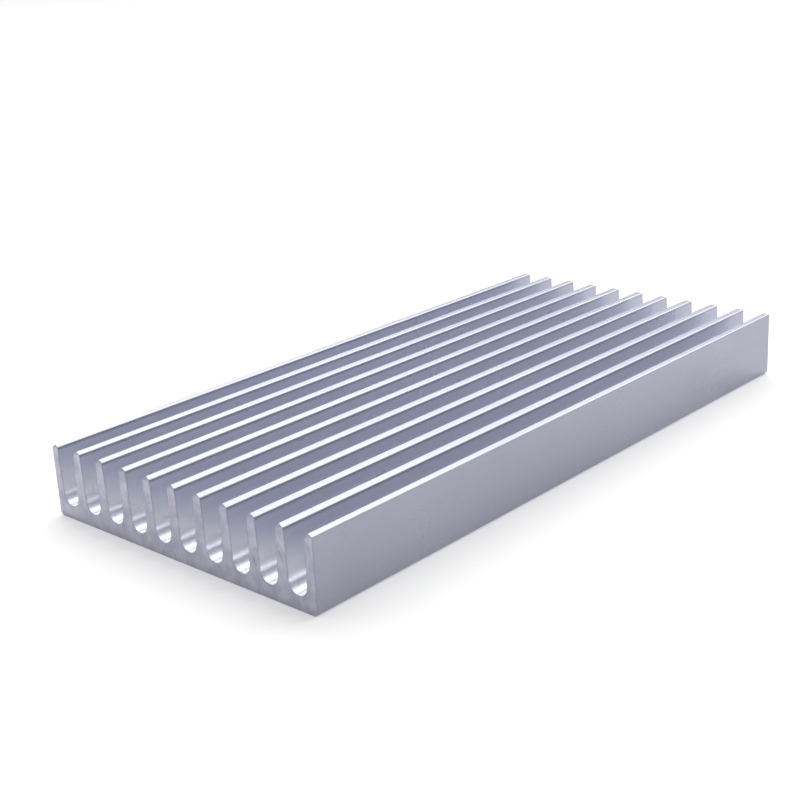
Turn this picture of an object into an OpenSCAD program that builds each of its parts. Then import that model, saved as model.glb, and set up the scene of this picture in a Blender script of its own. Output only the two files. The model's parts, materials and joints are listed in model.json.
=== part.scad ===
// Extruded heat sink: one cut length of a profile with straight fins on a flat base.
// X runs across the fins, Y along them and Z up from the flat base face to the fin tips.
// The origin is the middle of the base face.

/* [Cut length] */
// Length of the piece, measured along the fins
sink_l = 150; // [40:1:300]

/* [Base] */
// Thickness of the base under the lowest line of each channel floor
base_t = 2.8; // [1.5:0.1:6]
// Radius of the two long edges of the base face
base_edge_r = 0.8; // [0.2:0.1:1.6]

/* [Fins] */
// Number of fins, counting the two edge fins
fin_count = 11; // [3:1:15]
// Distance from the middle of one inner fin to the middle of the next
fin_pitch = 7; // [6:0.1:12]
// Height of the fin tips above the base face
fin_top_z = 14.6; // [10:0.1:30]
// Thickness of an inner fin at its tip
fin_tip_t = 2; // [1:0.1:3]
// Thickness of an edge fin at its tip
edge_fin_tip_t = 1.75; // [1:0.05:4]
// Lean of every channel wall, in degrees, which makes the fins thicker towards the base
fin_draft = 1.8; // [0:0.1:4]
// Radius along both edges of every fin tip
fin_tip_r = 0.3; // [0.1:0.05:0.45]

/* [Hidden] */
$fn = 48;

// How far a cut runs past the face that it opens through
cut_past = 1;

// How much larger a channel's rounds are drawn than the corners they fill, so that they cross
// the flat walls in a clean line instead of only touching them
lap = 0.001;

// Number of channels, and half the width of a channel at the fin tips
channel_count = fin_count - 1;
channel_half_w = (fin_pitch - fin_tip_t) / 2;

// Overall width, over the flat outer faces of the edge fins
sink_w = channel_count * fin_pitch - fin_tip_t + 2 * edge_fin_tip_t;

// A channel floor is one round that runs into both leaning walls with no corner, so its radius
// follows from the width at the tips, the depth and the lean
channel_depth = fin_top_z - base_t;
floor_r = (channel_half_w * cos(fin_draft) - channel_depth * sin(fin_draft)) / (1 - sin(fin_draft));
floor_z = base_t + floor_r;

// Where the floor's round meets a wall
floor_meet_x = floor_r * cos(fin_draft);
floor_meet_z = floor_z - floor_r * sin(fin_draft);

// Middle of the round on the fin tip beside a channel, measured from the middle of the channel
tip_round_x = channel_half_w + fin_tip_r * (1 / cos(fin_draft) - tan(fin_draft));
tip_round_z = fin_top_z - fin_tip_r;

// Where the tip's round meets the leaning wall
tip_meet_x = tip_round_x - fin_tip_r * cos(fin_draft);
tip_meet_z = tip_round_z + fin_tip_r * sin(fin_draft);

// Outline of the profile before the channels are taken out: a flat bar with rounded edges
module bar_section() {
    side_x = sink_w / 2;
    polygon([
        [-side_x + base_edge_r, 0],
        [side_x - base_edge_r, 0],
        [side_x, base_edge_r],
        [side_x, tip_round_z],
        [side_x - fin_tip_r, fin_top_z],
        [-side_x + fin_tip_r, fin_top_z],
        [-side_x, tip_round_z],
        [-side_x, base_edge_r]
    ]);
    for (side = [-1, 1]) {
        translate([side * (side_x - base_edge_r), base_edge_r]) circle(r = base_edge_r);
        translate([side * (side_x - fin_tip_r), tip_round_z]) circle(r = fin_tip_r);
    }
}

// Mouth of a channel, flared by the rounded tips of the fins on both sides of it
module channel_mouth() {
    difference() {
        polygon([
            [-tip_meet_x, tip_meet_z],
            [tip_meet_x, tip_meet_z],
            [tip_round_x, fin_top_z],
            [tip_round_x, fin_top_z + cut_past],
            [-tip_round_x, fin_top_z + cut_past],
            [-tip_round_x, fin_top_z]
        ]);
        for (side = [-1, 1])
            translate([side * tip_round_x, tip_round_z]) circle(r = fin_tip_r + lap);
    }
}

// Space between two fins: a round floor, leaning walls and the flared mouth
module channel_section() {
    translate([0, floor_z]) circle(r = floor_r + lap);
    polygon([
        [-floor_meet_x, floor_meet_z],
        [floor_meet_x, floor_meet_z],
        [channel_half_w, fin_top_z],
        [-channel_half_w, fin_top_z]
    ]);
    channel_mouth();
}

// Full section of the profile, drawn with the base face on the X axis
module profile_section() {
    difference() {
        bar_section();
        for (i = [0 : channel_count - 1])
            translate([(i - (channel_count - 1) / 2) * fin_pitch, 0]) channel_section();
    }
}

module heat_sink() {
    color([0.68, 0.69, 0.74])
        rotate([90, 0, 0])
            linear_extrude(height = sink_l, center = true) profile_section();
}

heat_sink();
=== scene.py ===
"""Looks of an extruded heat sink: one finished length of aluminium profile, its stage and its camera."""

import json
import logging
import math
from dataclasses import dataclass
from enum import Enum
from typing import Any, Iterable

import bmesh
import bpy
from mathutils import Matrix, Vector


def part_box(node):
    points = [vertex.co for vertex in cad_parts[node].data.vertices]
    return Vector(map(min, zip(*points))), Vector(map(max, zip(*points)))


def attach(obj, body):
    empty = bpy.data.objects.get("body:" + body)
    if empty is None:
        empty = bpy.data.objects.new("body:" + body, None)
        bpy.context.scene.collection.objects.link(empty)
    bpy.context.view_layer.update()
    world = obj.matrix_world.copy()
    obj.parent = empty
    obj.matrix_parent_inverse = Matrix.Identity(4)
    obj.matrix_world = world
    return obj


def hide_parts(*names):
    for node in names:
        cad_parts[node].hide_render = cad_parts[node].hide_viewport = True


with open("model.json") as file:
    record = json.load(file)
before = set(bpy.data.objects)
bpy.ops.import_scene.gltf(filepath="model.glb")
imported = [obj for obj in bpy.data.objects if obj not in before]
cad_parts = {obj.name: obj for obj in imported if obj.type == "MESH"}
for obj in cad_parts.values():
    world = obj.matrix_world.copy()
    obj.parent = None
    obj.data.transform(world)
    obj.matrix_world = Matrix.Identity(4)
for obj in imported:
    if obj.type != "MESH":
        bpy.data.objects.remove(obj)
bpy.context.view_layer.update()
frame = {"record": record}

LOG = logging.getLogger("heat_sink")
MM = 0.001

# Names of the numbers that the mesh carries for its finishes
# painted shade line along both cut edges
EDGE_SHADE = "burr_line"
# channel insides, where the skin colour carries painted light
PAINTED_CHANNEL_LIGHT = "shelter"
# painted shade on faces set back behind the near cut face: score grooves and chip facets
RECESS_SHADE = "fresh_cut"


class Noise(Enum):
    """How a noise pattern lies on the metal: each value is the scale of X, Y and Z that stretches it."""

    ALONG_FINS = (1.0, 0.004, 1.0)
    ALL_WAYS = (1.0, 1.0, 1.0)


class Graph:
    """A node tree under construction, with short calls for the nodes that the finishes and the repeat use."""

    def __init__(self, tree: bpy.types.NodeTree) -> None:
        """Starts on an empty tree.

        Args:
            tree: The node tree, whose own nodes are removed first.
        """
        self.tree = tree
        self.tree.nodes.clear()

    def add(self, kind: str, inputs: dict[Any, Any] | None = None, **settings: Any) -> bpy.types.Node:
        """Adds a node.

        Args:
            kind: Blender's name of the node type.
            inputs: Socket name or number to a socket that feeds it or to a plain value.
            settings: Properties of the node itself.

        Returns:
            The new node.
        """
        node = self.tree.nodes.new(kind)
        for name, value in settings.items():
            setattr(node, name, value)
        for name, value in (inputs or {}).items():
            self.feed(node, name, value)
        return node

    def feed(self, node: bpy.types.Node, name: Any, value: Any) -> None:
        """Links a socket into one input of a node, or sets that input to a plain value.

        Args:
            node: The node that is fed.
            name: Name or number of its input.
            value: A socket or a plain value.
        """
        if isinstance(value, bpy.types.NodeSocket):
            self.tree.links.new(value, node.inputs[name])
        else:
            node.inputs[name].default_value = value

    def math(self, operation: str, *values: Any, clamp: bool = False) -> bpy.types.NodeSocket:
        """Adds a Math node.

        Args:
            operation: Blender's name of the operation.
            values: Sockets or numbers, in the order of the node's inputs.
            clamp: Whether the result is held between 0 and 1.

        Returns:
            The result's socket.
        """
        inputs = dict(enumerate(values))
        return self.add("ShaderNodeMath", inputs, operation=operation, use_clamp=clamp).outputs[0]

    def spread(
        self, value: Any, low: float, high: float, out_low: float, out_high: float
    ) -> bpy.types.NodeSocket:
        """Maps a range onto another and holds the result inside it.

        Args:
            value: The socket that is mapped.
            low: Lower end of what comes in.
            high: Upper end of what comes in.
            out_low: Result at the lower end.
            out_high: Result at the upper end.

        Returns:
            The result's socket.
        """
        inputs = {"Value": value, "From Min": low, "From Max": high, "To Min": out_low, "To Max": out_high}
        return self.add("ShaderNodeMapRange", inputs).outputs["Result"]

    def noise(self, run: Noise, size: float, detail: float = 2.0) -> bpy.types.NodeSocket:
        """Adds a noise pattern on the piece's own coordinates.

        Args:
            run: How the pattern is stretched.
            size: Rough size of one patch across its run, in metres.
            detail: Number of finer layers.

        Returns:
            The pattern's socket, with values around 0.5.
        """
        place = self.add("ShaderNodeTexCoord").outputs["Object"]
        mapped = self.add("ShaderNodeMapping", {"Vector": place, "Scale": run.value})
        inputs = {"Vector": mapped.outputs[0], "Scale": 1.0 / size, "Detail": detail}
        return self.add("ShaderNodeTexNoise", inputs).outputs["Fac"]

    def mix(self, share: Any, first: Any, second: Any, blend: str = "MIX") -> bpy.types.NodeSocket:
        """Mixes two colours.

        Args:
            share: Socket or number, 0 for the first colour and 1 for the second.
            first: Socket or colour.
            second: Socket or colour.
            blend: Blender's name of the blend.

        Returns:
            The mixed colour's socket.
        """
        node = self.add("ShaderNodeMix", data_type="RGBA", blend_type=blend)
        self.feed(node, 0, share)
        self.feed(node, 6, first)
        self.feed(node, 7, second)
        return node.outputs[2]


def new_material(name: str) -> tuple[bpy.types.Material, Graph, bpy.types.Node]:
    """Makes a material with an empty Principled surface.

    Args:
        name: The material's name.

    Returns:
        The material, its graph and its Principled node.
    """
    material = bpy.data.materials.new(name)
    material.use_nodes = True
    graph = Graph(material.node_tree)
    surface = graph.add("ShaderNodeBsdfPrincipled")
    graph.add("ShaderNodeOutputMaterial", {"Surface": surface.outputs["BSDF"]})
    return material, graph, surface


@dataclass(frozen=True)
class ExtrudedSkin:
    """Aluminium as it leaves the die, satin outside; in a channel its colour carries painted light and a
    painted highlight, paler the deeper it lies, and it is glossier there.

    The heights painted_highlight_from to painted_highlight_full and floor_from to floor_full are measured
    from the base face, and the look changes from one to the other on the way down.
    """

    colour: tuple[float, float, float, float] = (0.42, 0.43, 0.51, 1.0)
    film_colour: tuple[float, float, float, float] = (0.38, 0.39, 0.475, 1.0)
    # painted light: lighter copies of colour and film_colour on the channel walls
    painted_light_wall_colour: tuple[float, float, float, float] = (0.60, 0.62, 0.74, 1.0)
    painted_light_wall_film_colour: tuple[float, float, float, float] = (0.565, 0.585, 0.71, 1.0)
    # painted highlight: near white paled in low down the channels
    painted_highlight_colour: tuple[float, float, float, float] = (0.90, 0.91, 0.95, 1.0)
    # painted shade line at the cut edges
    edge_shade_tint: tuple[float, float, float, float] = (0.80, 0.80, 0.84, 1.0)
    metallic: float = 0.85
    wall_metallic: float = 0.30
    floor_metallic: float = 0.75
    roughness: float = 0.27
    floor_roughness: float = 0.23
    painted_highlight_from: float = 12.5 * MM
    painted_highlight_full: float = 7.0 * MM
    floor_from: float = 6.2 * MM
    floor_full: float = 4.3 * MM
    line_size: float = 0.3 * MM
    band_size: float = 2.4 * MM
    film_size: float = 26.0 * MM
    grain_size: float = 0.5 * MM
    band_share: float = 0.4
    dull_range: tuple[float, float] = (0.75, 1.25)
    film_range: tuple[float, float] = (0.35, 0.65)
    glossier: float = 0.015
    duller: float = 0.03
    relief: float = 0.0004 * MM
    band_relief: float = 3.0
    wall_relief: float = 0.15

    def material(self) -> bpy.types.Material:
        """Builds the finish.

        Returns:
            The material.
        """
        material, graph, surface = new_material("extruded_skin")
        lines = graph.noise(Noise.ALONG_FINS, self.line_size, detail=1.0)
        bands = graph.noise(Noise.ALONG_FINS, self.band_size)
        film = graph.noise(Noise.ALL_WAYS, self.film_size, detail=4.0)
        grain = graph.noise(Noise.ALL_WAYS, self.grain_size)
        edge_shade = graph.add("ShaderNodeAttribute", attribute_name=EDGE_SHADE).outputs["Fac"]
        shelter = graph.add("ShaderNodeAttribute", attribute_name=PAINTED_CHANNEL_LIGHT).outputs["Fac"]
        place = graph.add("ShaderNodeTexCoord").outputs["Object"]
        height = graph.add("ShaderNodeSeparateXYZ", {0: place}).outputs["Z"]
        # painted highlight: pales the channel walls towards the floor
        painted_highlight = graph.math("MULTIPLY", shelter, graph.spread(height, self.painted_highlight_full, self.painted_highlight_from, 1.0, 0.0))
        low_down = graph.spread(height, self.floor_full, self.floor_from, 1.0, 0.0)
        deep = graph.math("MULTIPLY", shelter, low_down)
        banded = graph.math("MULTIPLY", bands, self.band_share)
        mottle = graph.math("ADD", banded, graph.math("MULTIPLY", grain, 1.0 - self.band_share))
        dull = graph.spread(graph.math("ADD", mottle, film), *self.dull_range, 0.0, 1.0)
        outside = graph.mix(dull, self.colour, self.film_colour)
        # painted light: the lighter wall copy of the skin inside the channels
        wall = graph.mix(dull, self.painted_light_wall_colour, self.painted_light_wall_film_colour)
        metal = graph.mix(painted_highlight, graph.mix(shelter, outside, wall), self.painted_highlight_colour)
        graph.feed(surface, "Base Color", graph.mix(edge_shade, metal, self.edge_shade_tint, "MULTIPLY"))
        metallic = graph.spread(shelter, 0.0, 1.0, self.metallic, self.wall_metallic)
        more_metal = graph.math("MULTIPLY", deep, self.floor_metallic - self.wall_metallic)
        graph.feed(surface, "Metallic", graph.math("ADD", metallic, more_metal))
        low, high = self.roughness - self.glossier, self.roughness + self.duller
        rough = graph.spread(film, *self.film_range, low, high)
        gloss = graph.math("MULTIPLY", deep, self.roughness - self.floor_roughness)
        graph.feed(surface, "Roughness", graph.math("SUBTRACT", rough, gloss))
        rise = graph.math("ADD", lines, graph.math("MULTIPLY", bands, self.band_relief))
        strength = graph.spread(shelter, 0.0, 1.0, 1.0, self.wall_relief)
        bump = graph.add("ShaderNodeBump", {"Height": rise, "Strength": strength, "Distance": self.relief})
        graph.feed(surface, "Normal", bump.outputs[0])
        return material


@dataclass(frozen=True)
class SawnEnd:
    """Cut end of the profile: duller metal with slanting saw marks and soft blotches, darker where painted
    shade lies in the score grooves and chip facets set back behind it.
    """

    colour: tuple[float, float, float, float] = (0.53, 0.535, 0.63, 1.0)
    mark_colour: tuple[float, float, float, float] = (0.43, 0.43, 0.52, 1.0)
    blotch_colour: tuple[float, float, float, float] = (0.46, 0.455, 0.56, 1.0)
    # painted shade line at the cut edges
    edge_shade_tint: tuple[float, float, float, float] = (0.80, 0.80, 0.84, 1.0)
    # painted shade in the score grooves and chip facets
    recess_shade_tint: tuple[float, float, float, float] = (0.55, 0.55, 0.58, 1.0)
    roughness: float = 0.44
    mark_slant: float = math.radians(67.0)
    mark_size: float = 0.45 * MM
    mark_run: float = 0.06
    blotch_size: float = 2.6 * MM
    blotch_range: tuple[float, float] = (0.42, 0.58)
    mark_range: tuple[float, float] = (0.34, 0.48)
    mark_strength: float = 0.7
    rough_range: tuple[float, float] = (0.3, 0.7)
    glossier: float = 0.06
    duller: float = 0.08
    relief: float = 0.008 * MM

    def material(self) -> bpy.types.Material:
        """Builds the finish.

        Returns:
            The material.
        """
        material, graph, surface = new_material("sawn_end")
        place = graph.add("ShaderNodeTexCoord").outputs["Object"]
        turned = graph.add("ShaderNodeMapping", {"Vector": place, "Rotation": (0.0, -self.mark_slant, 0.0)})
        stretch_in = {"Vector": turned.outputs[0], "Scale": (self.mark_run, 1.0, 1.0)}
        stretched = graph.add("ShaderNodeMapping", stretch_in)
        marks_in = {"Vector": stretched.outputs[0], "Scale": 1.0 / self.mark_size, "Detail": 2.0}
        marks = graph.add("ShaderNodeTexNoise", marks_in).outputs["Fac"]
        blotches = graph.noise(Noise.ALL_WAYS, self.blotch_size, detail=4.0)
        edge_shade = graph.add("ShaderNodeAttribute", attribute_name=EDGE_SHADE).outputs["Fac"]
        blotched = graph.spread(blotches, *self.blotch_range, 0.0, 1.0)
        marked = graph.spread(marks, *self.mark_range, self.mark_strength, 0.0)
        clean = graph.mix(blotched, self.colour, self.blotch_colour)
        scratched = graph.mix(marked, clean, self.mark_colour)
        # painted shade on faces set back behind the near cut face
        recess_shade = graph.add("ShaderNodeAttribute", attribute_name=RECESS_SHADE).outputs["Fac"]
        edged = graph.mix(edge_shade, scratched, self.edge_shade_tint, "MULTIPLY")
        graph.feed(surface, "Base Color", graph.mix(recess_shade, edged, self.recess_shade_tint, "MULTIPLY"))
        low, high = self.roughness - self.glossier, self.roughness + self.duller
        graph.feed(surface, "Roughness", graph.spread(blotches, *self.rough_range, low, high))
        graph.feed(surface, "Metallic", 1.0)
        bump = graph.add("ShaderNodeBump", {"Height": marks, "Strength": 1.0, "Distance": self.relief})
        graph.feed(surface, "Normal", bump.outputs[0])
        return material


@dataclass(frozen=True)
class FloorFinish:
    """Pale floor that shows white to the camera and in the metal, and still takes the object's shadow.

    The glow rises from near_lift to far_lift between two distances from the middle of the part, so the floor
    round the part carries painted shade. The metal mirrors a weaker glow beside the part, painted shade in
    its reflection, so that its shadow shows there too.
    """

    colour: tuple[float, float, float, float] = (0.80, 0.80, 0.80, 1.0)
    near_lift: float = 0.34
    near_mirror_lift: float = 0.22
    far_lift: float = 0.60
    near: float = 0.25
    far: float = 1.1

    def material(self) -> bpy.types.Material:
        """Builds the finish.

        Returns:
            The material.
        """
        material = bpy.data.materials.new("pale_floor")
        material.use_nodes = True
        graph = Graph(material.node_tree)
        rays = graph.add("ShaderNodeLightPath").outputs
        place = graph.add("ShaderNodeTexCoord").outputs["Object"]
        away = graph.add("ShaderNodeVectorMath", {0: place}, operation="LENGTH").outputs["Value"]
        # painted shade: the floor glows less near the part, and less still where the metal mirrors it
        seen = graph.spread(away, self.near, self.far, self.near_lift, self.far_lift)
        mirrored = graph.spread(away, self.near, self.far, self.near_mirror_lift, self.far_lift)
        in_metal = graph.math("MAXIMUM", rays["Is Glossy Ray"], rays["Is Transmission Ray"])
        lift = graph.math("MULTIPLY", rays["Is Camera Ray"], seen)
        lift = graph.math("ADD", lift, graph.math("MULTIPLY", in_metal, mirrored))
        matt = graph.add("ShaderNodeBsdfDiffuse", {"Color": self.colour})
        glow = graph.add("ShaderNodeEmission", {"Strength": lift})
        both = graph.add("ShaderNodeAddShader", {0: matt.outputs[0], 1: glow.outputs[0]})
        graph.add("ShaderNodeOutputMaterial", {"Surface": both.outputs[0]})
        return material


@dataclass(frozen=True)
class Profile:
    """Section of the extrusion, in metres: a point's first number is its X, its second its height."""

    width: float
    height: float
    pitch: float
    channels: int
    base_thickness: float = 2.8 * MM
    base_edge_radius: float = 0.8 * MM
    fin_tip_thickness: float = 2.0 * MM
    fin_tip_radius: float = 0.3 * MM
    lean: float = math.radians(1.8)
    columns: int = 4
    tip_steps: int = 6
    wall_steps: int = 14
    wall_crowding: float = 1.8
    corner_steps: int = 4
    floor_quarter: int = 8

    @property
    def half_mouth(self) -> float:
        """Half the width of a channel at the fin tips."""
        return (self.pitch - self.fin_tip_thickness) / 2

    @property
    def floor_radius(self) -> float:
        """Radius of a channel floor that runs into both leaning walls without a corner."""
        depth = self.height - self.base_thickness
        sine, cosine = math.sin(self.lean), math.cos(self.lean)
        return (self.half_mouth * cosine - depth * sine) / (1 - sine)

    @property
    def tip_middle(self) -> Vector:
        """Middle of the round on the fin tip to the right of a channel, from the middle of the channel."""
        out = self.fin_tip_radius * (1 / math.cos(self.lean) - math.tan(self.lean))
        return Vector((self.half_mouth + out, self.height - self.fin_tip_radius))

    def tip_angles(self) -> list[float]:
        """Angles on the round of a fin tip, from its top to its wall."""
        top = math.pi / 2
        return [top + (self.lean - top) * i / self.tip_steps for i in range(self.tip_steps + 1)]

    def corner_angles(self) -> list[float]:
        """Angles on the round of the base's long edge, from its side to the base face."""
        return [math.pi / 2 * (i + 1) / self.corner_steps for i in range(self.corner_steps)]

    def surface(self, inset: float) -> list[Vector]:
        """Points down the left wall of a channel, round its floor and up the right wall.

        Args:
            inset: How deep below the real surface the points lie.

        Returns:
            The points, from the round of one fin tip to that of the next.
        """
        middle, radius = self.tip_middle, self.fin_tip_radius - inset
        tip = [middle + radius * Vector((-math.cos(a), math.sin(a))) for a in self.tip_angles()]
        floor_middle = Vector((0.0, self.base_thickness + self.floor_radius))
        floor_steps = 4 * self.floor_quarter
        swing = math.pi - 2 * self.lean
        angles = [-self.lean - swing * i / floor_steps for i in range(floor_steps + 1)]
        radius = self.floor_radius + inset
        floor = [floor_middle + radius * Vector((math.cos(a), math.sin(a))) for a in angles]
        shares = [(i / self.wall_steps) ** self.wall_crowding for i in range(1, self.wall_steps)]
        wall = [tip[-1].lerp(floor[0], share) for share in shares]
        right = tip + wall
        left = [Vector((-p.x, p.y)) for p in right]
        return left + floor[::-1] + right[::-1]

    def levels(self, inset: float) -> list[float]:
        """Heights of the rows below the walls, down the middle of a fin to the base face."""
        start = self.base_thickness + self.floor_radius - (self.floor_radius + inset) * math.sin(self.lean)
        corner = self.base_edge_radius
        steps = self.floor_quarter - self.corner_steps
        straight = [start + (corner - start) * i / steps for i in range(1, steps + 1)]
        round_part = [corner - (corner - inset) * math.sin(a) for a in self.corner_angles()]
        return straight + round_part

    def border(self, inset: float) -> list[Vector]:
        """Points that pair with surface(): down the middle of one fin, along the base and up the next.

        Args:
            inset: How deep below the real surface the points lie.

        Returns:
            As many points as surface() gives.
        """
        side = self.pitch / 2
        outside = self.surface(inset)
        upper = self.tip_steps + self.wall_steps + 1
        down = [Vector((-side, p.y)) for p in outside[:upper]]
        down += [Vector((-side, z)) for z in self.levels(inset)]
        half = 2 * self.floor_quarter
        along = [Vector((-side + self.pitch * i / half, inset)) for i in range(1, half)]
        up = [Vector((-p.x, p.y)) for p in reversed(down)]
        return down + along + up

    def channel_grid(self, inset: float) -> list[list[Vector]]:
        """Rows of points across the metal round one channel, from the middle of the metal to the channel."""
        return [self._row(a, b) for a, b in zip(self.border(inset), self.surface(inset))]

    def edge_grid(self, inset: float) -> list[list[Vector]]:
        """Rows of points across the outer half of the left edge fin, from its middle to its outer face.

        Args:
            inset: How deep below the real surface the points lie.

        Returns:
            Rows from the base face up to the fin tip.
        """
        middle_x = -self.channels * self.pitch / 2
        outer_x = -self.width / 2
        radius, corner = self.fin_tip_radius, self.base_edge_radius
        rows_down = self.tip_steps + self.wall_steps + 1 + self.floor_quarter
        heights = [p.y for p in self.border(inset)[:rows_down]]
        faces = [outer_x + radius - (radius - inset) * math.cos(a) for a in self.tip_angles()]
        faces += [outer_x + inset] * (len(heights) - len(faces) - self.corner_steps)
        faces += [outer_x + corner - (corner - inset) * math.cos(a) for a in self.corner_angles()]
        rows = [self._row(Vector((middle_x, z)), Vector((x, z))) for x, z in zip(faces, heights)]
        return rows[::-1]

    def _row(self, start: Vector, end: Vector) -> list[Vector]:
        """Points in even steps from one place to another."""
        return [start.lerp(end, i / self.columns) for i in range(self.columns + 1)]


class Part(Enum):
    """The two shapes that the repeat puts together, with the name of each scratch object."""

    CHANNEL = "channel_length"
    EDGE_FIN = "edge_fin_length"


@dataclass(frozen=True)
class Chip:
    """Corner that the saw knocked off a fin tip: a slant through the tip's right corner."""

    back: float = 0.85 * MM
    drop: float = 0.55 * MM
    across: float = 2.0 * MM
    reach: float = 1.8 * MM
    thickness: float = 1.5 * MM
    largest_turn: tuple[float, float, float] = (0.06, 0.05, 0.08)

    def mesh(self) -> bpy.types.Mesh:
        """Builds the block that is taken away, measured from the middle of the near end of a fin tip."""
        right = Vector((self.across / 2, 0.0, 0.0))
        behind = Vector((-self.across / 2, self.back, 0.0))
        below = Vector((-self.across / 2, 0.0, -self.drop))
        normal = (behind - right).cross(below - right).normalized()
        along = (behind - below).normalized()
        side = normal.cross(along)
        middle = (right + behind + below) / 3
        corners = [middle + along * a * self.reach + side * b * self.reach + normal * c * self.thickness
                   for c in (0, 1) for a, b in ((-1, -1), (1, -1), (1, 1), (-1, 1))]
        faces = [(0, 1, 2, 3), (7, 6, 5, 4), (0, 4, 5, 1), (1, 5, 6, 2), (2, 6, 7, 3), (3, 7, 4, 0)]
        return solid_mesh("fin_tip_chip", corners, faces)


@dataclass(frozen=True)
class Score:
    """Deep mark that the saw left on the near cut face, from one place to another."""

    start: tuple[float, float]
    end: tuple[float, float]
    width: float = 0.5 * MM
    depth: float = 0.15 * MM
    deepest: float = 0.4
    above: float = 0.02 * MM

    def corners(self, face_y: float) -> list[Vector]:
        """Corners of the sliver that is taken away: both tips, then both sides and the bottom of the groove.

        Args:
            face_y: Y of the cut face.

        Returns:
            Five corners.
        """
        start, end = Vector(self.start) * MM, Vector(self.end) * MM
        middle = start.lerp(end, self.deepest)
        side = (end - start).orthogonal().normalized() * self.width / 2
        flat = [(p, face_y - self.above) for p in (start, end, middle + side, middle - side)]
        return [Vector((p.x, y, p.y)) for p, y in flat + [(middle, face_y + self.depth)]]


def scores_mesh(scores: Iterable[Score], face_y: float) -> bpy.types.Mesh:
    """Builds the slivers of all scores as one mesh.

    Args:
        scores: The marks.
        face_y: Y of the cut face.

    Returns:
        A closed mesh for each mark, in one.
    """
    corners, faces = [], []
    for score in scores:
        n = len(corners)
        corners += score.corners(face_y)
        sides = ((0, 2, 4), (0, 4, 3), (0, 3, 2), (1, 4, 2), (1, 3, 4), (1, 2, 3))
        faces += [tuple(n + i for i in side) for side in sides]
    return solid_mesh("saw_scores", corners, faces)


def solid_mesh(name: str, corners: list[Vector], faces: list[tuple[int, ...]]) -> bpy.types.Mesh:
    """Makes a closed mesh whose faces point outwards.

    Args:
        name: The mesh's name.
        corners: Its corners.
        faces: Corner numbers of each face.

    Returns:
        The mesh.
    """
    mesh = bpy.data.meshes.new(name)
    mesh.from_pydata(corners, [], faces)
    shape = bmesh.new()
    shape.from_mesh(mesh)
    bmesh.ops.recalc_face_normals(shape, faces=shape.faces)
    shape.to_mesh(mesh)
    shape.free()
    return mesh


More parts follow.
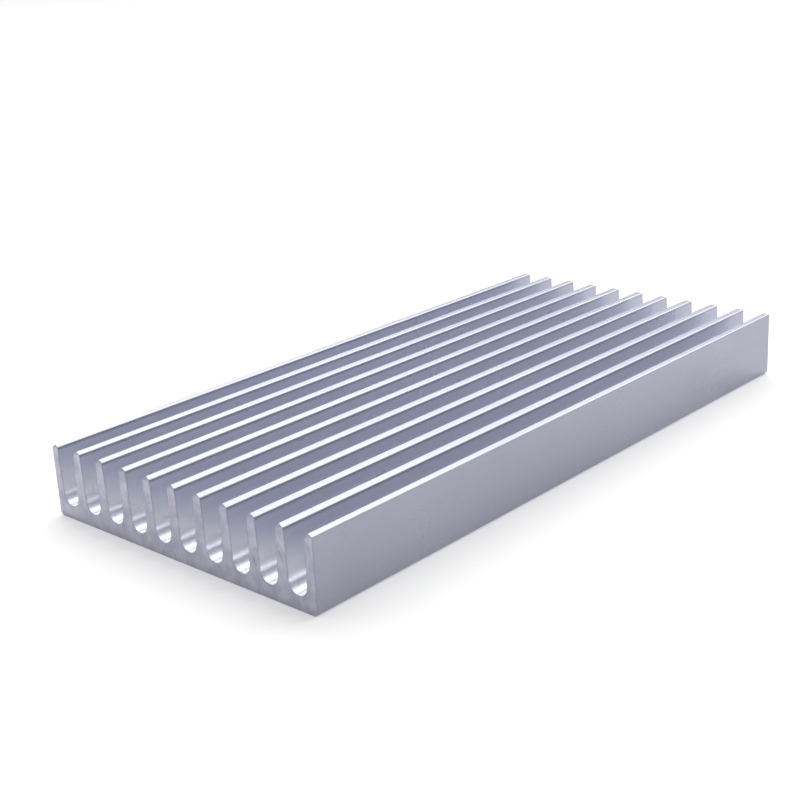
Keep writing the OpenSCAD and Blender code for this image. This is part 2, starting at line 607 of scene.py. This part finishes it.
@dataclass
class HeatSink:
    """The whole piece: a channel's length repeated across the width and closed by the edge fins.

    A face counts as cut where the Y part of its normal is above cut_tilt, and takes painted shade as set back
    where it also lies deeper than recess_shade_from behind the near cut face.
    """

    profile: Profile
    length: float
    edge_break: float = 0.06 * MM
    # painted shade line: its width at each cut end
    break_steps: int = 2
    edge_shade_width: float = 0.15 * MM
    cut_tilt: float = 0.3
    # painted shade starts this far behind the near cut face
    recess_shade_from: float = 0.045 * MM
    end_stations: tuple[float, ...] = (0.12 * MM, 0.3 * MM, 1.2 * MM, 3.2 * MM)
    middle_stations: int = 12
    chip: Chip = Chip()
    scores: tuple[Score, ...] = (
        Score((26.7, 11.6), (29.0, 6.7)),
        Score((34.0, 14.0), (35.6, 10.1)),
        Score((30.9, 2.7), (32.0, 0.2)),
        Score((20.7, 7.2), (21.8, 4.6), width=0.36 * MM),
        Score((5.4, 9.0), (5.9, 7.7), width=0.32 * MM),
    )
    # painted light inside the channels: where it starts below the fin tips and over what depth it grows
    painted_light_start: float = 0.35 * MM
    painted_light_depth: float = 0.4 * MM
    merge_distance: float = 0.001 * MM
    smooth_angle: float = math.radians(32.0)
    seed: int = 11

    def rings(self) -> list[tuple[float, float]]:
        """Inset and Y of each ring of the piece, from the near cut face to the far one."""
        start = -self.length / 2
        angles = [math.pi / 2 * i / self.break_steps for i in range(self.break_steps + 1)]
        size = self.edge_break
        near = [(size * (1 - math.sin(a)), start + size * (1 - math.cos(a))) for a in angles]
        near += [(0.0, start + y) for y in self.end_stations]
        last = near[-1][1]
        middle = [(0.0, last - 2 * last * i / self.middle_stations) for i in range(1, self.middle_stations)]
        return near + middle + [(inset, -y) for inset, y in reversed(near)]

    def outline(self, part: Part, inset: float) -> list[list[Vector]]:
        """Lines of points that are drawn along the fins for one part, each with the metal on its right.

        Args:
            part: Which shape is meant.
            inset: How deep below the real surface the points lie.

        Returns:
            One list of points for each separate line.
        """
        if part is Part.EDGE_FIN:
            grid = self.profile.edge_grid(inset)
            return [grid[0] + [row[-1] for row in grid[1:]] + grid[-1][-2::-1]]
        grid = self.profile.channel_grid(inset)
        first = self.profile.tip_steps + self.profile.wall_steps + self.profile.floor_quarter
        under = [row[0] for row in grid[first : len(grid) - first]][::-1]
        return [grid[0] + [row[-1] for row in grid[1:-1]] + grid[-1][::-1], under]

    def part_mesh(self, part: Part) -> bpy.types.Mesh:
        """Builds one part as patches that meet corner to corner.

        Args:
            part: Which shape is built.

        Returns:
            A mesh with the cut faces and the long surfaces, open where it meets its neighbours.
        """
        shape = bmesh.new()
        edge_shade = shape.verts.layers.float.new(EDGE_SHADE)
        rings = self.rings()
        for line_number in range(len(self.outline(part, 0.0))):
            rows = []
            for inset, y in rings:
                points = self.outline(part, inset)[line_number]
                # painted shade line: corners near either cut end
                dark = float(abs(y) > self.length / 2 - self.edge_shade_width)
                rows.append([self._vertex(shape, p, y, edge_shade, dark) for p in points])
            self._patch(shape, rows)
        grid_of = self.profile.edge_grid if part is Part.EDGE_FIN else self.profile.channel_grid
        for (inset, y), order in ((rings[0], -1), (rings[-1], 1)):
            rows = [[self._vertex(shape, p, y, edge_shade, 0.0) for p in row] for row in grid_of(inset)[::order]]
            self._patch(shape, rows)
        mesh = bpy.data.meshes.new(part.value)
        shape.to_mesh(mesh)
        shape.free()
        return mesh

    @staticmethod
    def _vertex(
        shape: bmesh.types.BMesh, point: Vector, y: float, layer: Any, value: float
    ) -> bmesh.types.BMVert:
        """Adds a corner.

        Args:
            shape: The mesh under construction.
            point: Point of the section.
            y: Its place along the fins.
            layer: The layer that holds a number for each corner.
            value: That number.

        Returns:
            The corner.
        """
        vertex = shape.verts.new((point.x, y, point.y))
        vertex[layer] = value
        return vertex

    @staticmethod
    def _patch(shape: bmesh.types.BMesh, rows: list[list[bmesh.types.BMVert]]) -> None:
        """Fills the space between rows of corners with four-sided faces.

        Args:
            shape: The mesh under construction.
            rows: The rows, with as many corners in each.
        """
        for low, high in zip(rows, rows[1:]):
            for i in range(len(low) - 1):
                shape.faces.new((low[i], low[i + 1], high[i + 1], high[i]))

    def repeat_tree(self) -> bpy.types.NodeTree:
        """Builds the tree that repeats the channel, closes the sides, and chips and scores the near end.

        Returns:
            A geometry node tree whose inputs are named for what they set.
        """
        tree = bpy.data.node_groups.new("repeat_channels", "GeometryNodeTree")
        interface = tree.interface
        sockets = {
            "Geometry": "NodeSocketGeometry",
            "Edge Fin": "NodeSocketObject",
            "Channels": "NodeSocketInt",
            "Pitch": "NodeSocketFloat",
            "Near End": "NodeSocketFloat",
            "Fin Top": "NodeSocketFloat",
            "Base Thickness": "NodeSocketFloat",
            "Shelter Start": "NodeSocketFloat",
            "Shelter Depth": "NodeSocketFloat",
            "Fresh From": "NodeSocketFloat",
            "Chip": "NodeSocketObject",
            "Scores": "NodeSocketObject",
            "Seed": "NodeSocketInt",
            "Merge Distance": "NodeSocketFloat",
            "Skin": "NodeSocketMaterial",
            "Sawn": "NodeSocketMaterial",
        }
        for name, kind in sockets.items():
            interface.new_socket(name=name, in_out="INPUT", socket_type=kind)
        interface.new_socket(name="Geometry", in_out="OUTPUT", socket_type="NodeSocketGeometry")
        graph = Graph(tree)
        given = graph.add("NodeGroupInput").outputs
        row = self._channel_row(graph, given)
        sides = self._edge_fins(graph, given)
        joined = graph.add("GeometryNodeJoinGeometry")
        for piece in (row, sides):
            tree.links.new(piece, joined.inputs["Geometry"])
        solid = graph.add("GeometryNodeRealizeInstances", {"Geometry": joined.outputs[0]}).outputs[0]
        merge_in = {"Geometry": solid, "Distance": given["Merge Distance"]}
        closed = graph.add("GeometryNodeMergeByDistance", merge_in)
        chipped = self._cut(graph, closed.outputs[0], self._chips(graph, given))
        scores = graph.add("GeometryNodeObjectInfo", {"Object": given["Scores"]}).outputs["Geometry"]
        scored = self._cut(graph, chipped, scores)
        # painted light: marks the channel insides, where the skin colour is painted lighter
        channel_lit = self._store(graph, scored, PAINTED_CHANNEL_LIGHT, self._inside(graph, given), "POINT")
        normal = graph.add("GeometryNodeInputNormal").outputs[0]
        along = graph.add("ShaderNodeSeparateXYZ", {0: normal}).outputs["Y"]
        is_cut = graph.math("GREATER_THAN", graph.math("ABSOLUTE", along), self.cut_tilt)
        position = graph.add("GeometryNodeInputPosition").outputs[0]
        place = graph.add("ShaderNodeSeparateXYZ", {0: position}).outputs
        # painted shade: cut faces set back behind the near cut face, on the near half
        behind = graph.math("SUBTRACT", place["Y"], given["Near End"])
        behind = graph.math("SUBTRACT", behind, given["Fresh From"])
        recess_shade = graph.math("MULTIPLY", is_cut, graph.math("GREATER_THAN", behind, 0.0))
        recess_shade = graph.math("MULTIPLY", recess_shade, graph.math("LESS_THAN", place["Y"], 0.0))
        stored = self._store(graph, channel_lit, RECESS_SHADE, recess_shade, "FACE")
        skin_in = {"Geometry": stored, "Material": given["Skin"]}
        skinned = graph.add("GeometryNodeSetMaterial", skin_in).outputs[0]
        cut_in = {"Geometry": skinned, "Selection": is_cut, "Material": given["Sawn"]}
        finished = graph.add("GeometryNodeSetMaterial", cut_in).outputs[0]
        graph.add("NodeGroupOutput", {"Geometry": finished})
        return tree

    @staticmethod
    def _channel_row(graph: Graph, given: Any) -> bpy.types.NodeSocket:
        """Puts a copy of the channel on each place of a row across the width.

        Args:
            graph: The tree.
            given: The tree's inputs.

        Returns:
            The copies.
        """
        gaps = graph.math("SUBTRACT", given["Channels"], 1.0)
        points = HeatSink._places(graph, given, given["Channels"], gaps)
        row_in = {"Points": points, "Instance": given["Geometry"]}
        return graph.add("GeometryNodeInstanceOnPoints", row_in).outputs[0]

    @staticmethod
    def _places(
        graph: Graph, given: Any, count: Any, gaps: Any, y: Any = 0.0, z: Any = 0.0
    ) -> bpy.types.NodeSocket:
        """Lays points one pitch apart in a row across the width, with the middle of the row at X 0.

        Args:
            graph: The tree.
            given: The tree's inputs.
            count: Number of points.
            gaps: Number of gaps between them.
            y: Their Y.
            z: Their Z.

        Returns:
            The points.
        """
        start = graph.math("MULTIPLY", graph.math("MULTIPLY", gaps, given["Pitch"]), -0.5)
        first = graph.add("ShaderNodeCombineXYZ", {"X": start, "Y": y, "Z": z}).outputs[0]
        step = graph.add("ShaderNodeCombineXYZ", {"X": given["Pitch"]}).outputs[0]
        line_in = {"Count": count, "Start Location": first, "Offset": step}
        return graph.add("GeometryNodeMeshLine", line_in, mode="OFFSET").outputs[0]

    @staticmethod
    def _edge_fins(graph: Graph, given: Any) -> bpy.types.NodeSocket:
        """Puts the left edge fin in place and a half turn of it on the right.

        Args:
            graph: The tree.
            given: The tree's inputs.

        Returns:
            Both edge fins.
        """
        left = graph.add("GeometryNodeObjectInfo", {"Object": given["Edge Fin"]}).outputs["Geometry"]
        turn_in = {"Geometry": left, "Rotation": (0.0, 0.0, math.pi)}
        right = graph.add("GeometryNodeTransform", turn_in).outputs[0]
        both = graph.add("GeometryNodeJoinGeometry")
        for side in (left, right):
            graph.tree.links.new(side, both.inputs["Geometry"])
        return both.outputs[0]

    @staticmethod
    def _inside(graph: Graph, given: Any) -> bpy.types.NodeSocket:
        """Tells the metal inside the channels from the fin tips and the outside.

        Args:
            graph: The tree.
            given: The tree's inputs.

        Returns:
            A number that is 1 inside the channels, below the range that starts under the tips, and 0 outside.
        """
        position = graph.add("GeometryNodeInputPosition").outputs[0]
        place = graph.add("ShaderNodeSeparateXYZ", {0: position}).outputs
        down = graph.math("SUBTRACT", given["Fin Top"], place["Z"])
        past = graph.math("SUBTRACT", down, given["Shelter Start"])
        share = graph.math("DIVIDE", past, given["Shelter Depth"], clamp=True)
        reach = graph.math("MULTIPLY", graph.math("MULTIPLY", given["Channels"], given["Pitch"]), 0.5)
        inside = graph.math("LESS_THAN", graph.math("ABSOLUTE", place["X"]), reach)
        above = graph.math("GREATER_THAN", place["Z"], graph.math("MULTIPLY", given["Base Thickness"], 0.5))
        return graph.math("MULTIPLY", graph.math("MULTIPLY", inside, above), share)

    @staticmethod
    def _store(graph: Graph, shape: Any, name: str, value: Any, domain: str) -> bpy.types.NodeSocket:
        """Stores a number on every corner or face under a name."""
        stored_in = {"Geometry": shape, "Name": name, "Value": value}
        settings = {"data_type": "FLOAT", "domain": domain}
        return graph.add("GeometryNodeStoreNamedAttribute", stored_in, **settings).outputs[0]

    @staticmethod
    def _cut(graph: Graph, shape: Any, tool: Any) -> bpy.types.NodeSocket:
        """Takes one closed shape out of another."""
        settings = {"operation": "DIFFERENCE", "solver": "EXACT"}
        return graph.add("GeometryNodeMeshBoolean", {0: shape, 1: tool}, **settings).outputs[0]

    def _chips(self, graph: Graph, given: Any) -> bpy.types.NodeSocket:
        """Puts a chip on the near end of every fin tip, turned a little from fin to fin.

        Args:
            graph: The tree.
            given: The tree's inputs.

        Returns:
            The blocks that are taken away.
        """
        fins = graph.math("ADD", given["Channels"], 1.0)
        points = self._places(graph, given, fins, given["Channels"], given["Near End"], given["Fin Top"])
        tool = graph.add("GeometryNodeObjectInfo", {"Object": given["Chip"]}).outputs["Geometry"]
        turn = graph.add("FunctionNodeRandomValue", data_type="FLOAT_VECTOR")
        graph.feed(turn, "Min", tuple(-angle for angle in self.chip.largest_turn))
        graph.feed(turn, "Max", self.chip.largest_turn)
        graph.feed(turn, "Seed", given["Seed"])
        row_in = {"Points": points, "Instance": tool, "Rotation": turn.outputs[0]}
        row = graph.add("GeometryNodeInstanceOnPoints", row_in).outputs[0]
        return graph.add("GeometryNodeRealizeInstances", {"Geometry": row}).outputs[0]

    def build(self, skin: bpy.types.Material, sawn: bpy.types.Material) -> bpy.types.Object:
        """Builds the finished piece.

        Args:
            skin: Finish of the long surfaces.
            sawn: Finish of the cut ends.

        Returns:
            A plain mesh object at the origin, which rides on the part and stands for its node.
        """
        meshes = {part: self.part_mesh(part) for part in Part}
        for mesh in meshes.values():
            mesh.materials.append(skin)
        meshes |= {"chip": self.chip.mesh(), "scores": scores_mesh(self.scores, -self.length / 2)}
        scratch = {key: bpy.data.objects.new(mesh.name, mesh) for key, mesh in meshes.items()}
        for obj in scratch.values():
            bpy.context.scene.collection.objects.link(obj)
        values = {"Edge Fin": scratch[Part.EDGE_FIN], "Channels": self.profile.channels,
                  "Pitch": self.profile.pitch, "Near End": -self.length / 2, "Fin Top": self.profile.height,
                  "Base Thickness": self.profile.base_thickness, "Shelter Start": self.painted_light_start,
                  "Shelter Depth": self.painted_light_depth, "Fresh From": self.recess_shade_from,
                  "Chip": scratch["chip"], "Scores": scratch["scores"], "Seed": self.seed,
                  "Merge Distance": self.merge_distance, "Skin": skin, "Sawn": sawn}
        mesh = bake_nodes(scratch[Part.CHANNEL], self.repeat_tree(), values)
        for obj in scratch.values():
            bpy.data.objects.remove(obj)
        close_shell(mesh, self.smooth_angle)
        mesh.name = "heat_sink_finished"
        piece = bpy.data.objects.new("heat_sink_finished", mesh)
        bpy.context.scene.collection.objects.link(piece)
        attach(piece, "root")
        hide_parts("heat_sink")
        return piece


def bake_nodes(obj: bpy.types.Object, tree: bpy.types.NodeTree, values: dict[str, Any]) -> bpy.types.Mesh:
    """Runs a geometry node tree on an object and returns the result as a plain mesh.

    Args:
        obj: The object whose mesh the tree starts from.
        tree: The geometry node tree.
        values: Input name to value.

    Returns:
        The evaluated mesh, with no modifier behind it.
    """
    modifier = obj.modifiers.new(tree.name, "NODES")
    modifier.node_group = tree
    sockets = {item.name: item.identifier for item in tree.interface.items_tree if item.in_out == "INPUT"}
    for name, value in values.items():
        modifier[sockets[name]] = value
    bpy.context.view_layer.update()
    evaluated = obj.evaluated_get(bpy.context.evaluated_depsgraph_get())
    mesh = bpy.data.meshes.new_from_object(evaluated)
    obj.modifiers.remove(modifier)
    return mesh


def close_shell(mesh: bpy.types.Mesh, smooth_angle: float) -> None:
    """Turns every face outwards and smooths the mesh up to an angle.

    Args:
        mesh: The mesh, whose doubles are merged already.
        smooth_angle: Largest angle between two faces that still shade as one surface.
    """
    shape = bmesh.new()
    shape.from_mesh(mesh)
    bmesh.ops.recalc_face_normals(shape, faces=shape.faces)
    open_edges = sum(1 for edge in shape.edges if not edge.is_manifold)
    shape.to_mesh(mesh)
    shape.free()
    mesh.shade_smooth()
    mesh.set_sharp_from_angle(angle=smooth_angle)
    LOG.info("%s: %d faces, %d open edges", mesh.name, len(mesh.polygons), open_edges)


@dataclass(frozen=True)
class Lamp:
    """A soft rectangular lamp, aimed at the middle of the part.

    Its azimuth is 0 degrees in front of the near cut face, 90 on the right and 180 behind the far cut face.
    """

    name: str
    azimuth: float
    elevation: float
    distance: float
    size: tuple[float, float]
    power: float

    def place(self, target: Vector) -> bpy.types.Object:
        """Adds the lamp to the scene.

        Args:
            target: The point that it faces.

        Returns:
            The lamp object.
        """
        light = bpy.data.lights.new(self.name, "AREA")
        light.shape = "RECTANGLE"
        light.size, light.size_y = self.size
        light.energy = self.power
        turn, rise = math.radians(self.azimuth), math.radians(self.elevation)
        out = Vector((math.sin(turn) * math.cos(rise), -math.cos(turn) * math.cos(rise), math.sin(rise)))
        obj = bpy.data.objects.new(self.name, light)
        obj.location = target + out * self.distance
        obj.rotation_euler = (-out).to_track_quat("-Z", "Y").to_euler()
        bpy.context.scene.collection.objects.link(obj)
        return obj


@dataclass
class Studio:
    """Pale floor, soft lamps, plain world and the camera."""

    floor_size: float = 8.0
    floor_gap: float = 0.02 * MM
    world_strength: float = 0.45
    camera_place: Vector = Vector((193.098, -220.274, 113.315)) * MM
    camera_forward: Vector = Vector((-0.64403, 0.68767, -0.33516))
    camera_right: Vector = Vector((0.74135, 0.66913, -0.05166))
    focal_share: float = 1.8115
    sensor: float = 36.0
    clip: tuple[float, float] = (0.01, 50.0)

    def build(self, target: Vector) -> None:
        """Builds everything that isn't part of the object.

        Args:
            target: The middle of the part.
        """
        self._floor()
        self._world()
        for lamp in self.lamps():
            lamp.place(target)
        self._camera()
        bpy.context.scene.view_settings.view_transform = "Standard"

    @staticmethod
    def lamps() -> list[Lamp]:
        """The studio's lamps."""
        return [
            Lamp("back_key", 200.0, 46.0, 0.9, (1.9, 0.9), 12.0),
            Lamp("left_fill", 285.0, 22.0, 1.0, (1.2, 0.5), 2.0),
        ]

    def _floor(self) -> None:
        """Lays the floor under the part's lowest point."""
        mesh = bpy.data.meshes.new("floor")
        half = self.floor_size / 2
        corners = [(-half, -half, 0.0), (half, -half, 0.0), (half, half, 0.0), (-half, half, 0.0)]
        mesh.from_pydata(corners, [], [(0, 1, 2, 3)])
        mesh.materials.append(FloorFinish().material())
        floor = bpy.data.objects.new("floor", mesh)
        floor.location.z = -self.floor_gap
        bpy.context.scene.collection.objects.link(floor)

    def _world(self) -> None:
        """Sets an even world that lights softly from all round."""
        world = bpy.data.worlds.new("studio_world")
        world.use_nodes = True
        graph = Graph(world.node_tree)
        sky_in = {"Color": (1.0, 1.0, 1.0, 1.0), "Strength": self.world_strength}
        sky = graph.add("ShaderNodeBackground", sky_in)
        graph.add("ShaderNodeOutputWorld", {"Surface": sky.outputs[0]})
        bpy.context.scene.world = world

    def _camera(self) -> None:
        """Sets the camera from its place, the way it looks and its right hand."""
        data = bpy.data.cameras.new("camera")
        data.sensor_width = self.sensor
        data.lens = self.sensor * self.focal_share
        data.clip_start, data.clip_end = self.clip
        back = -self.camera_forward.normalized()
        up = back.cross(self.camera_right).normalized()
        right = up.cross(back)
        camera = bpy.data.objects.new("camera", data)
        turn = Matrix((right, up, back)).transposed().to_4x4()
        camera.matrix_world = Matrix.Translation(self.camera_place) @ turn
        bpy.context.scene.collection.objects.link(camera)
        bpy.context.scene.camera = camera


def channel_spacing(openings: Iterable[dict[str, Any]]) -> tuple[int, float]:
    """Number of channels and the distance between two of them, from the record's openings.

    Args:
        openings: The record's boxes, one for each channel.

    Returns:
        The count and the spacing in metres.
    """
    middles = sorted((box["box_m"][0][0] + box["box_m"][1][0]) / 2 for box in openings)
    return len(middles), (middles[-1] - middles[0]) / (len(middles) - 1)


def main() -> None:
    """Builds the part and its stage, and reports each piece."""
    logging.basicConfig(level=logging.INFO, format="%(name)s: %(message)s")
    low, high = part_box("heat_sink")
    channels, pitch = channel_spacing(frame["record"]["physics"]["openings"])
    profile = Profile(width=high.x - low.x, height=high.z - low.z, pitch=pitch, channels=channels)
    sink = HeatSink(profile=profile, length=high.y - low.y)
    piece = sink.build(ExtrudedSkin().material(), SawnEnd().material())
    LOG.info("%s: %d corners", piece.name, len(piece.data.vertices))
    Studio().build((low + high) / 2)


if __name__ == "__main__":
    main()
